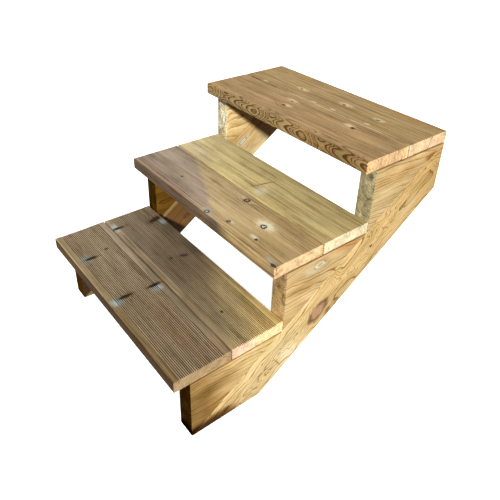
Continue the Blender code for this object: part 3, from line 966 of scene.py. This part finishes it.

# Each piece's look, in millimetres. Tone is the mean colour, and sides the tint of each face, which also
# paints light and shade by the way the face points: sunlit ends paler, shaded fronts and inner faces darker.
# Along and across are the tints at places along and across the grain, which on some pieces also paint light
# and shade.
# Pith is the tree's axis and tilt its slope. Ring is a ring's width, and bend and ripple are how far rings
# wander over wave and ripple_length. Eyes are the height, spacing, first place and reach of arches at the
# front edge.
# Fade is how far flat grain pales.
LOOKS = {
    "tread_upper_front": dict(
        seed=3, tone=(0.263, 0.166, 0.069),
        sides={"-y": (1.28, 1.39, 1.41), "+x": (2.29, 2.35, 3.00), "-x": (1.78, 1.77, 1.79)},
        pith=(-57.0, 1.0), tilt=(0.012, 0.0), ring=4.3, eyes=(13.0, 192.0, -102.0, 24.0), bend=6.0,
        contrast=1.35, fade=0.25,
        knots=(
            knot((-57, 38), (4.0, 2.6), turn=-20, halo=(HONEY, (-3, 3), (26, 9)), bark=0.5, reach=4.0),
            knot((-51, 2), (5, 4), light=BLACK, shadow=0.6, halo=(HONEY, (10, 4), (20, 9)), reach=4.0),
            knot(
                (156, 40), (6, 4.5), turn=-25, light=BLACK, shadow=0.5, halo=(HONEY, (-13, 3), (20, 10)),
                halo_amount=1.0, reach=3.5,
            ),
            knot((147, -9), (2.2, 1.8)),
        ),
        patches=(
            beside((40, -71), 88, -60.0, (0.90, 0.82, 0.72), only_t=(-52, -66)),
            spot((-120, -4, 15), (120, 34, 30), (1.16, 1.15, 1.18), 0.9),
            spot((250, -50, 15), (90, 34, 30), (0.86, 0.86, 0.86), 0.9),
            beside((0, 67), 0, 2.5, (0.72, 0.66, 0.58), ragged=0.8),
        ),
    ),
    "tread_upper_back": dict(
        seed=7, tone=(0.242, 0.157, 0.060),
        sides={
            "+y": (0.92, 0.90, 0.80),
            "+x": (2.37, 2.60, 4.02),
            "-x": (1.80, 1.80, 1.86),
            "-y": (1.59, 1.85, 2.84),
        },
        pith=(90.0, -30.0), tilt=(-0.015, 0.0), ring=3.6, bend=6.0, contrast=1.35, fade=0.25,
        across=((-70, (1.06, 1.07, 1.10)), (0, (1.08, 1.09, 1.12)), (70, (0.92, 0.91, 0.92))),
        knots=(
            knot((-112, -20), (4.5, 3), turn=-20, halo=(HONEY, (6, -2), (28, 11)), bark=0.6),
            knot((40, -10), (6, 3.5), turn=-20, halo=(HONEY, (4, 2), (28, 12)), bark=0.6),
            knot((160, -17), (6, 3.5), turn=20, halo=(HONEY, (4, 0), (22, 11)), bark=0.7),
            fleck((-220, -63), (11, 6)),
            fleck((-20, -65), (12, 5)),
            fleck((47, -62), (12, 6)),
            fleck((162, -60), (11, 6)),
        ),
        patches=(
            spot((0, -32, 15), (200, 18, 30), (0.86, 0.81, 0.77), 0.9),
            spot((190, 55, 15), (60, 10, 20), (1.12, 0.86, 0.62), 0.9),
            spot((-165, 50, 15), (30, 14, 20), (1.1, 0.98, 0.62), 0.9),
        ),
    ),
    "tread_middle_front": dict(
        seed=11, tone=(0.316, 0.225, 0.107),
        sides={"-y": (1.25, 1.32, 1.20), "+x": (1.94, 1.97, 2.42), "-x": (1.60, 1.60, 1.60)},
        pith=(5.0, -52.0), tilt=(0.01, 0.0), ring=3.3, bend=9.0,
        along=(
            (-300, (0.96, 1.02, 1.09)), (-150, (0.97, 1.02, 1.09)), (-35, (1.12, 1.16, 1.30)),
            (110, (1.07, 1.09, 1.13)), (190, (0.95, 0.93, 0.90)), (300, (0.97, 0.92, 0.88)),
        ),
        contrast=0.85, fade=0.75,
        knots=(
            knot(
                (57, 50), (7.5, 6.5), light=BLACK, dark=(0.05, 0.03, 0.02), centre=(0.34, 0.27, 0.16),
                ragged=1.1, shadow=0.8, bark=1.3, halo=(PALE, (0, -4), (24, 12)), halo_amount=0.3,
            ),
            knot(
                (169, 10), (8, 7), light=(0.10, 0.09, 0.07), dark=BLACK, centre=(0.52, 0.55, 0.50),
                ragged=0.9, bark=1.2, halo=(PALE, (0, 4), (36, 19)), halo_amount=1.0,
            ),
            knot((198, -35), (3.5, 3.2), light=BLACK, halo=(PALE, (-9, 0), (15, 7)), ragged=0.6),
            knot(
                (104, -41), (5, 4.5), light=BLACK, centre=(0.30, 0.22, 0.13), ragged=1.1,
                halo=(PALE, (6, 0), (14, 6)), halo_amount=0.4,
            ),
            knot(
                (40, -57), (6.5, 5.5), light=(0.05, 0.05, 0.05), dark=BLACK, centre=(0.40, 0.44, 0.42),
                ragged=0.8, bark=0.9, halo=(BLUE, (-3, 3), (20, 9)), halo_amount=0.5,
            ),
            knot((-137, -13), (4.0, 3.0), light=(0.10, 0.08, 0.06), ragged=0.7, shadow=0.5, bark=0.6),
            knot(
                (290, -64), (8, 3.5), light=(0.05, 0.05, 0.035), ragged=0.8, halo=(BLUE, (-14, 4), (20, 8)),
                halo_amount=0.5,
            ),
        ),
        patches=(
            beside((-184, 71), -25, -18.0, (0.73, 0.75, 1.03), ragged=10.0),
            beside((-60, -40), -12, -40.0, (0.80, 0.74, 0.76), ragged=9.0, only_s=(70, 10)),
            beside((0, -56), 0, -2.5, (1.28, 1.22, 1.12), ragged=3.0, only_s=(110, 40)),
            beside((0, 60), 0, 3.0, (0.90, 0.84, 0.78), ragged=2.0),
            beside((150, -80), 90, 60.0, (0.38, 0.34, 0.33), only_t=FRONT_FACE),
            beside((120, -80), -90, 30.0, (1.13, 1.08, 1.18), only_t=FRONT_FACE),
        ),
    ),
    "tread_middle_back": dict(
        seed=19, tone=(0.423, 0.329, 0.149), sides={"+x": (1.60, 1.80, 2.80), "-x": (1.40, 1.50, 1.90)},
        pith=(120.0, 46.0), tilt=(0.0, 0.0), ring=3.4, bend=7.0, wave=420,
        along=(
            (-300, (1.13, 1.19, 1.36)), (-110, (1.08, 1.10, 1.14)), (60, (1.03, 1.03, 1.00)),
            (200, (0.94, 0.92, 0.89)), (300, (0.89, 0.86, 0.82)),
        ),
        contrast=0.7, warm=(1.03, 0.98, 0.88), cool=(0.95, 1.04, 1.10),
        knots=(
            knot(
                (18, -8), (2.6, 26), turn=-14, light=(0.34, 0.27, 0.12), dark=(0.20, 0.15, 0.07), bark=0.6,
                reach=1.2, ragged=0.3, shadow=0.3, halo=(PALE, (26, -34), (26, 26)), halo_amount=0.5,
            ),
        ),
        patches=(
            beside((-200, -62), 0, -4.0, (0.82, 0.80, 0.95), ragged=2.0, only_s=(-120, -190)),
            spot((-230, -40, 15), (70, 26, 30), (0.86, 0.84, 1.0), 0.9),
        ),
    ),
    "tread_lower_front": dict(
        seed=23, tone=(0.303, 0.227, 0.145), gloss=0.06,
        # -y paints the deep shade on the front face
        sides={"-y": (0.160, 0.098, 0.024), "+x": (1.01, 0.94, 0.78), "-x": (1.07, 1.02, 0.94)},
        pith=(10.0, -62.0), ring=3.4, groove_darkening=0.48,
        knots=(
            torn((20, 50), (4.5, 15), (14, -4), (17, 17), 1.1),
            torn((-165, -26), (4, 14), (-2, -14), (24, 15), 1.0),
            torn((16, -24), (4.5, 15), (9, -26), (17, 19), 1.1),
            knot((-180, 22), (3, 4), shadow=0.6),
        ),
        patches=(
            spot((200, 10, 15), (160, 18, 30), (1.00, 0.92, 0.84), 0.9),
            spot((-110, 12, 15), (190, 40, 30), (1.22, 1.27, 1.34), 0.9),
            beside((0, -54), 0, -2.0, (0.67, 0.66, 0.58), ragged=1.0, only_w=REEDED_FACE),
            beside((0, -54), 0, -2.0, (0.72, 0.66, 0.54), only_s=(-10, 60), only_w=REEDED_FACE),
            beside((0, 52), 0, 2.0, (0.48, 0.48, 0.46), only_s=(-90, 30), only_w=REEDED_FACE),
            beside((0, 52), 0, 2.0, (0.77, 0.79, 0.86), only_s=(20, -20), only_w=REEDED_FACE),
            beside((200, 0), -90, 60.0, (1.36, 1.28, 1.12), only_t=(50, 54), only_w=REEDED_FACE),
            beside((-60, -80), 90, 150.0, (1.50, 1.55, 1.35), only_t=FRONT_FACE),
        ),
    ),
    "tread_lower_back": dict(
        seed=29, tone=(0.312, 0.229, 0.117),
        sides={"+x": (1.62, 1.37, 2.00), "-x": (1.60, 1.47, 1.60), "-y": (0.95, 0.92, 0.91)},
        pith=(-25.0, -70.0), ring=3.6, groove_darkening=0.94,
        along=(
            (-300, (0.94, 0.94, 0.97)), (-187, (0.90, 0.92, 0.97)), (-37, (0.66, 0.64, 0.64)),
            (37, (0.70, 0.68, 0.66)), (112, (0.93, 0.93, 0.88)), (300, (1.20, 1.24, 1.20)),
        ),
        knots=(
            knot(
                (-227, 50), (7, 17), turn=20, light=BLACK, ragged=0.6, shadow=0.8,
                halo=(BLUE, (24, 10), (18, 10)),
            ),
            torn((-247, -53), (4.5, 15), (-2, -8), (24, 13), 1.0),
            knot((-37, 26), (4, 9), turn=-25, light=(0.07, 0.045, 0.03), ragged=0.6, shadow=0.6),
            knot((-46, -6), (3.5, 3.2), light=BLACK, shadow=0.6),
            knot((192, -18), (3.2, 3.2), light=BLACK),
        ),
        patches=(
            beside((20, 71), -25, -26.0, (0.80, 0.82, 0.98)),
            beside((40, 71), -25, 70.0, (1.6, 1.5, 1.14)),
            beside((0, -54), 0, -2.0, (1.10, 1.10, 1.08), ragged=1.0, only_w=REEDED_FACE),
            beside((0, -54), 0, -2.0, (0.66, 0.62, 0.58), only_s=(60, 110), only_w=REEDED_FACE),
            # these two paint the shade cast by the middle tread on the rear of the top, towards the left
            beside((0, 42), 0, 10.0, (0.68, 0.66, 0.64), only_s=(20, -50), only_w=(12.0, 12.6)),
            spot((-180, 60, 15), (70, 14, 20), (0.66, 0.64, 0.58), 0.9),
            spot((130, 34, 15), (80, 30, 20), (1.34, 1.36, 1.42), 0.9),
        ),
    ),
    "stringer_board_right": dict(
        seed=31, tone=(0.426, 0.301, 0.132), pith=(-62.0, -24.0), tilt=(0.02, 0.03), ring=7.6, bend=40.0,
        wave=120, ripple=9.0, ripple_length=42.0, contrast=1.45, streak=0.4, gloss=0.05,
        along=(
            (0, (0.85, 0.80, 0.70)), (100, (1.04, 1.02, 1.02)), (260, (1.15, 1.23, 1.36)),
            (355, (1.10, 1.11, 1.09)), (470, (0.98, 0.93, 0.87)), (740, (1.00, 0.94, 0.86)),
            (900, (0.82, 0.72, 0.58)),
        ),
        fade=0.0,
        knots=(
            knot(
                (391, -63), (37, 18), turn=8, lean=(0.0, 0.0), pointed=1.35, tips=(0.09, 0.042, 0.020),
                light=(0.42, 0.26, 0.145), dark=(0.22, 0.105, 0.052), ring_tone=(0.11, 0.055, 0.025),
                rings=3.2, ragged=0.45, reach=1.5, bark=0.75, shadow=0.3, split=0.0,
            ),
            knot((592, -49), (4, 3.0), light=(0.14, 0.08, 0.04), reach=3.0, ragged=0.8),
        ),
        patches=(
            spot((730, -60, 22), (42, 30, 20), (1.02, 1.12, 1.30), 0.8),
            spot((275, -80, 22), (34, 26, 20), (1.12, 1.16, 1.35), 0.5),
            beside((22, 33), -33.7, -24.0, WET, ragged=12.0, only_s=(122, 84)),
            beside((14, 21), -33.7, -18.0, WETTEST, ragged=12.0, only_s=(104, 50)),
            spot((239, -74, 22), (2.6, 26, 60), (0.62, 0.46, 0.30), 0.9),
            # painted shade on the rounded lower edge
            beside((0, -101), 0, -5.0, (0.62, 0.52, 0.42), ragged=1.0),
        ),
    ),
    "stringer_board_left": dict(
        seed=37, tone=(0.392, 0.280, 0.128), pith=(-60.0, 35.0), tilt=(-0.03, 0.03),
        # along and across paint light and shade: paler where the upper gap is lit and at the lower edge,
        # darker under the treads
        along=(
            (0, (1.00, 1.00, 1.00)), (600, (1.00, 1.00, 1.00)), (700, (1.14, 1.10, 1.06)),
            (900, (1.14, 1.10, 1.06)),
        ),
        across=((-106, (1.22, 1.28, 1.42)), (-60, (1.04, 1.04, 1.04)), (0, (0.95, 0.90, 0.82))),
        ring=8.5, bend=30.0, wave=140, ripple=4.0, contrast=1.0,
        knots=(
            knot(
                (372, -71), (9, 6), light=(0.10, 0.045, 0.02), dark=(0.05, 0.02, 0.01), lean=(0.0, 0.0),
                shadow=0.6,
            ),
            knot(
                (655, -31), (16, 6), lean=(0.0, 0.0), light=(0.55, 0.54, 0.40), dark=(0.42, 0.40, 0.28),
                bark=0.6, halo=(PALE, (0, 0), (34, 13)),
            ),
        ),
        patches=(
            # painted shade on the inner face in the lower gap, leaving a paler strip along the upper edge
            beside(
                (470, -53), 90, 60.0, (0.52, 0.38, 0.22), ragged=4.0, only_t=(-8, -14), only_w=INNER_FACE,
            ),
            # painted shade on the inner face of the lower part, under the middle tread
            beside((0, -200), 0, 10.0, (0.47, 0.43, 0.37), only_s=(575, 540), only_w=INNER_FACE),
            # painted shadow of the upper tread on the inner face
            beside((707, 0), -74.5, 7.0, (0.47, 0.28, 0.07), ragged=2.0, only_w=INNER_FACE),
            # painted shade on the stretch between the lower and the upper gap
            spot((560, -40, 0), (60, 16, 60), (0.66, 0.48, 0.30), 0.8),
        ),
    ),
    "step_block_right_lower": dict(
        # -y paints the deep shade on the foot's front face
        seed=41, tone=(0.326, 0.216, 0.084), gloss=0.0, sides={"-y": (0.16, 0.105, 0.05)},
        pith=(-60.0, 10.0),
        along=(
            (0, (0.62, 0.56, 0.44)), (40, (0.68, 0.60, 0.50)), (90, (1.14, 1.12, 1.14)),
            (150, (1.45, 1.53, 1.70)), (240, (1.70, 1.90, 2.00)),
        ),
        patches=(
            SEAT_SHADOW,
            spot((52, 62, 22), (34, 30, 26), (0.84, 0.74, 0.62), 0.8),
            beside((0, 40), 0, -24.0, WET, ragged=12.0, only_s=(116, 84)),
            beside((0, 25), 0, -18.0, WETTEST, ragged=12.0, only_s=(100, 50)),
            beside((0, 118), 4, 26.0, (1.12, 1.14, 1.2)),
        ),
    ),
    "step_block_right_middle": dict(
        seed=43, tone=(0.437, 0.302, 0.136), sides={"-y": (0.94, 0.88, 0.84)}, pith=(250.0, -10.0),
        along=(
            (0, (0.97, 0.97, 0.97)), (90, (0.98, 0.97, 0.96)), (150, (1.16, 1.16, 1.18)),
            (240, (1.03, 1.03, 1.03)),
        ),
        across=(
            (0, (1.00, 0.97, 0.94)), (90, (1.10, 1.12, 1.12)), (140, (0.91, 0.89, 0.86)),
            (167, (0.87, 0.84, 0.80)),
        ),
        knots=(
            knot(
                (99, 143), (18, 10), lean=(0.0, 0.0), light=(0.60, 0.58, 0.42), dark=(0.38, 0.30, 0.15),
                centre=(0.42, 0.34, 0.17), ring_tone=(0.26, 0.18, 0.08), bark=0.6, ragged=0.4, reach=2.8,
                rings=2.0, split=0.0, halo=(PALE, (-12, -5), (38, 17)), halo_amount=0.6,
            ),
        ),
        patches=(
            SEAT_SHADOW,
            spot((190, 160, 22), (60, 16, 30), (0.85, 0.66, 0.50), 0.8),
            spot((40, 100, 22), (60, 14, 30), (0.84, 0.74, 0.62), 0.9),
        ),
    ),
    "step_block_right_upper": dict(
        seed=47, tone=(0.408, 0.290, 0.130), sides={"-y": (0.89, 1.04, 1.22)}, pith=(200.0, 40.0),
        along=(
            (0, (0.93, 0.95, 0.97)), (90, (1.08, 1.08, 1.10)), (150, (1.08, 1.02, 0.98)),
            (240, (0.98, 0.88, 0.72)),
        ),
        patches=(
            SEAT_SHADOW,
            spot((92, 54, 22), (44, 26, 20), (1.10, 1.14, 1.25), 0.8),
            spot((215, 142, 22), (40, 12, 30), (0.50, 0.34, 0.22), 0.6),
            spot((60, 130, 22), (90, 30, 30), (0.95, 0.84, 0.74), 0.9),
        ),
    ),
    "step_block_left_lower": dict(
        seed=53, tone=(0.38, 0.26, 0.12), gloss=0.0,
        # -y and +x paint the deep shade on the front and the inner face
        sides={"-y": (0.135, 0.080, 0.015), "+x": (0.100, 0.073, 0.075)}, pith=(-30.0, 30.0),
    ),
    "step_block_left_middle": dict(
        seed=59, tone=(0.38, 0.26, 0.12), gloss=0.0,
        # -y and +x paint the deep shade on the front and the inner face
        sides={"-y": (0.123, 0.088, 0.020), "+x": (0.255, 0.177, 0.050)}, pith=(60.0, 40.0),
    ),
    "step_block_left_upper": dict(
        seed=61, tone=(0.521, 0.375, 0.171), sides={"-y": (1.13, 1.41, 2.09)}, pith=(90.0, -25.0),
        across=(
            (0, (0.84, 0.78, 0.66)), (40, (0.88, 0.82, 0.70)), (78, (1.15, 1.20, 1.28)),
            (115, (1.02, 1.03, 1.05)), (167, (0.95, 0.90, 0.85)),
        ),
        # painted shadow of the upper tread on the inner face
        patches=(beside((18, 118), -40.6, 7.0, (0.48, 0.29, 0.08), ragged=2.0, only_w=INNER_FACE),),
    ),
}
TIMBER_DEFAULTS = dict(
    wave=330, ripple_length=60, bend=9.0, ripple=2.0, tilt=(0.0, 0.0), ring=4.0, fade=0.6, contrast=0.8,
    profile=SOFT_LATEWOOD, palette=BOARD_PALETTE, cool=(0.95, 1.03, 1.04), warm=(1.05, 0.98, 0.92),
    fibre=0.34, streak=0.42, band=0.34, cloud=0.3, mottle=("x", 0.12), gloss=0.12, groove_darkening=0.6,
    knots=(), patches=(), sides={},
)
STRINGER_DEFAULTS = dict(
    palette=GOLDEN_PALETTE, profile=SHARP_LATEWOOD, fibre=0.36, streak=0.3, band=0.1, cloud=0.45, mottle=None,
)
BLOCK_DEFAULTS = dict(
    STRINGER_DEFAULTS, mottle=("y", 1.0), ring=9.0, bend=24.0, wave=170, ripple=6.0, contrast=1.1, fade=0.0,
)


# ---- building the pieces ---------------------------------------------------------------------------------
def finish_piece(obj, node, material):
    smooth_by_angle(obj)
    obj.data.materials.clear()
    obj.data.materials.append(material)
    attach(obj, "root")
    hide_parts(node)


def build_treads():
    for step in STEPS:
        for place in PLACES:
            node = f"tread_{step}_{place}"
            look = LOOKS[node]
            reeds_up = step == "lower"
            obj = tread_mesh(node, reeds_up, look["seed"])
            cut(obj, [shank_cutter(f"tread_screw_{side}_{step}_{place}") for side in SIDES])
            low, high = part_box(node)
            local = set_grain(obj, (low + high) / 2, (1, 0, 0), (0, 1, 0), (0, 0, 1))
            half = np.array([high[k] - low[k] for k in range(3)]) / 2 / MM
            set_edge(obj, (half - np.abs(local))[:, 1:].min(axis=1))
            reeds = (half[1], half[2], 1.0 if reeds_up else -1.0)
            finish_piece(obj, node, timber(node, {**look, "reeds": reeds}))


def edge_distances(obj, outline):
    """How far each point is from the nearest flat face, in millimetres."""
    x, y, z = (points_of(obj.data) / MM).T
    sides = [offset - y * normal.x - z * normal.y for normal, offset in side_planes(outline)]
    return np.abs(np.array([*sides, x - x.min(), x.max() - x])).min(axis=0)


def screws_of(kind, side, step):
    """Names of the two screws of a kind on one side of a step."""
    return [f"{kind}_screw_{side}_{step}_{place}" for place in PLACES]


def build_stringer_boards():
    start = slope_start()
    for side in SIDES:
        node = f"stringer_board_{side}"
        outline, radii = stringer_board_outline(node)
        low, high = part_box(node)
        look = {**STRINGER_DEFAULTS, **LOOKS[node]}
        obj = plank_mesh(node + "_timber", outline, radii, low.x / MM, high.x / MM, look["seed"])
        cut(obj, [counterbore_cutter(screw) for step in STEPS for screw in screws_of("block", side, step)])
        origin = Vector(((low.x + high.x) / 2, start.x * MM, start.y * MM))
        set_grain(obj, origin, ALONG, ACROSS, (1, 0, 0))
        set_edge(obj, edge_distances(obj, outline))
        finish_piece(obj, node, timber(node, look))


def build_blocks():
    for side in SIDES:
        for step in STEPS:
            node = f"step_block_{side}_{step}"
            outline, radii = step_block_outline(node)
            low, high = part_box(node)
            look = {**BLOCK_DEFAULTS, **LOOKS[node]}
            obj = plank_mesh(node + "_timber", outline, radii, low.x / MM, high.x / MM, look["seed"])
            screws = screws_of("block", side, step) + screws_of("bracket", side, step)
            cut(obj, [shank_cutter(screw) for screw in screws])
            origin = Vector(((low.x + high.x) / 2, low.y, high.z - RISE * MM))
            set_grain(obj, origin, (0, 1, 0), (0, 0, 1), (1, 0, 0))
            set_edge(obj, edge_distances(obj, outline))
            finish_piece(obj, node, timber(node, look))


def build_hardware():
    zinc = galvanised("zinc_spangle", 1.0)
    yellow = passivated("yellow_zinc")
    meshes = {kind: screw_mesh(f"{kind}_screw_mesh", size) for kind, size in SCREWS.items()}
    for node in NODES:
        if node.startswith("tread_bracket"):
            side, step = node.split("_")[2:]
            obj = bracket_mesh(node, SIDES[side])
            screws = screws_of("tread", side, step) + screws_of("bracket", side, step)
            cut(obj, [shank_cutter(screw) for screw in screws])
            finish_piece(obj, node, zinc)
        elif "screw" in node:
            mesh = meshes[screw_kind(node)].copy()
            mesh.transform(screw_place(node))
            obj = bpy.data.objects.new(node + "_steel", mesh)
            bpy.context.scene.collection.objects.link(obj)
            finish_piece(obj, node, yellow)


# ---- stage -----------------------------------------------------------------------------------------------
FLOOR_SIZE = 30.0  # metres
FLOOR_TONE = (0.82, 0.82, 0.815)
FLOOR_GLOW = 1.0
BACKDROP_RADIUS = 14.0  # metres
BACKDROP_RINGS, BACKDROP_SIDES = 10, 48
BACKDROP_TONE = (0.80, 0.80, 0.80)
BACKDROP_GLOW = 1.0
SKY_STRENGTH, GROUND_STRENGTH = 0.2, 0.06
HORIZON = 0.1  # height over which the ground's light turns into the sky's
SUNS = {
    "key": dict(towards=(0.81, -0.44, 0.40), strength=5.1, angle=3.0, colour=(1.0, 0.97, 0.92)),
    "top": dict(towards=(0.1, 0.0, 1.0), strength=1.4, angle=70.0, colour=(1.0, 1.0, 1.0)),
    "fill": dict(towards=(-0.6, 0.7, 0.35), strength=1.3, angle=60.0, colour=(1.0, 1.0, 1.0)),
}
CAMERA_PLACE = (0.9442, -0.7452, 1.0646)
CAMERA_TURN = (58.589, -1.366, 51.977)
CAMERA_LENS = 39.4
CAMERA_SHIFT = (0.0103, -0.102)


def pale_surface(name, tone, glow, roughness, specular):
    """A pale matt material that also glows, so it looks even and nearly white."""
    inputs = {"Base Color": tone, "Roughness": roughness, "Specular IOR Level": specular}
    return Graph(name).surface({**inputs, "Emission Color": tone, "Emission Strength": glow})


def add_floor():
    half = FLOOR_SIZE / 2
    corners = [(-half, -half, 0), (half, -half, 0), (half, half, 0), (-half, half, 0)]
    floor = mesh_object("floor", corners, [(0, 1, 2, 3)])
    floor.data.materials.append(pale_surface("pale_floor", FLOOR_TONE, FLOOR_GLOW, 0.9, 0.1))
    floor.visible_diffuse = False


def add_backdrop():
    """A pale dome round the scene that only the camera sees."""
    verts, faces = [], []
    for ring in range(BACKDROP_RINGS):
        rise = 0.5 * math.pi * ring / BACKDROP_RINGS
        flat, height = BACKDROP_RADIUS * math.cos(rise), BACKDROP_RADIUS * math.sin(rise)
        for side in range(BACKDROP_SIDES):
            around = 2 * math.pi * side / BACKDROP_SIDES
            verts.append((flat * math.cos(around), flat * math.sin(around), height))
    for low in range(0, (BACKDROP_RINGS - 1) * BACKDROP_SIDES, BACKDROP_SIDES):
        for side in range(BACKDROP_SIDES):
            after = (side + 1) % BACKDROP_SIDES
            faces.append((low + side, low + after, low + BACKDROP_SIDES + after, low + BACKDROP_SIDES + side))
    faces.append(tuple(range(len(verts) - BACKDROP_SIDES, len(verts))))
    dome = mesh_object("backdrop", verts, faces)
    dome.data.materials.append(pale_surface("pale_backdrop", BACKDROP_TONE, BACKDROP_GLOW, 1.0, 0.0))
    dome.visible_diffuse = dome.visible_glossy = dome.visible_transmission = dome.visible_shadow = False


def add_sun(name, towards, strength, angle, colour):
    """A sun that shines from a direction; its angle is how wide it looks, in degrees."""
    light = bpy.data.lights.new(name, "SUN")
    light.energy = strength
    light.angle = math.radians(angle)
    light.color = colour
    obj = bpy.data.objects.new(name, light)
    obj.rotation_mode = "QUATERNION"
    obj.rotation_quaternion = Vector(towards).to_track_quat("Z", "Y")
    bpy.context.scene.collection.objects.link(obj)


def add_world():
    """An even pale sky above the horizon, and little light from below it."""
    world = bpy.data.worlds.new("studio")
    world.use_nodes = True
    nodes, links = world.node_tree.nodes, world.node_tree.links
    split = nodes.new("ShaderNodeSeparateXYZ")
    links.new(nodes.new("ShaderNodeTexCoord").outputs["Generated"], split.inputs[0])
    blend = nodes.new("ShaderNodeMapRange")
    blend.inputs["From Min"].default_value = -HORIZON
    blend.inputs["From Max"].default_value = HORIZON
    blend.inputs["To Min"].default_value = GROUND_STRENGTH
    blend.inputs["To Max"].default_value = SKY_STRENGTH
    links.new(split.outputs["Z"], blend.inputs["Value"])
    links.new(blend.outputs["Result"], nodes["Background"].inputs["Strength"])
    nodes["Background"].inputs["Color"].default_value = (1.0, 1.0, 1.0, 1.0)
    bpy.context.scene.world = world


def add_camera():
    data = bpy.data.cameras.new("camera")
    data.lens = CAMERA_LENS
    data.shift_x, data.shift_y = CAMERA_SHIFT
    data.clip_start = 0.01
    camera = bpy.data.objects.new("camera", data)
    camera.location = CAMERA_PLACE
    camera.rotation_euler = Euler([math.radians(a) for a in CAMERA_TURN])
    bpy.context.scene.collection.objects.link(camera)
    bpy.context.scene.camera = camera


build_treads()
build_stringer_boards()
build_blocks()
build_hardware()
add_floor()
add_backdrop()
add_world()
for sun_name, sun in SUNS.items():
    add_sun(sun_name, **sun)
add_camera()
bpy.context.scene.view_settings.view_transform = "Standard"
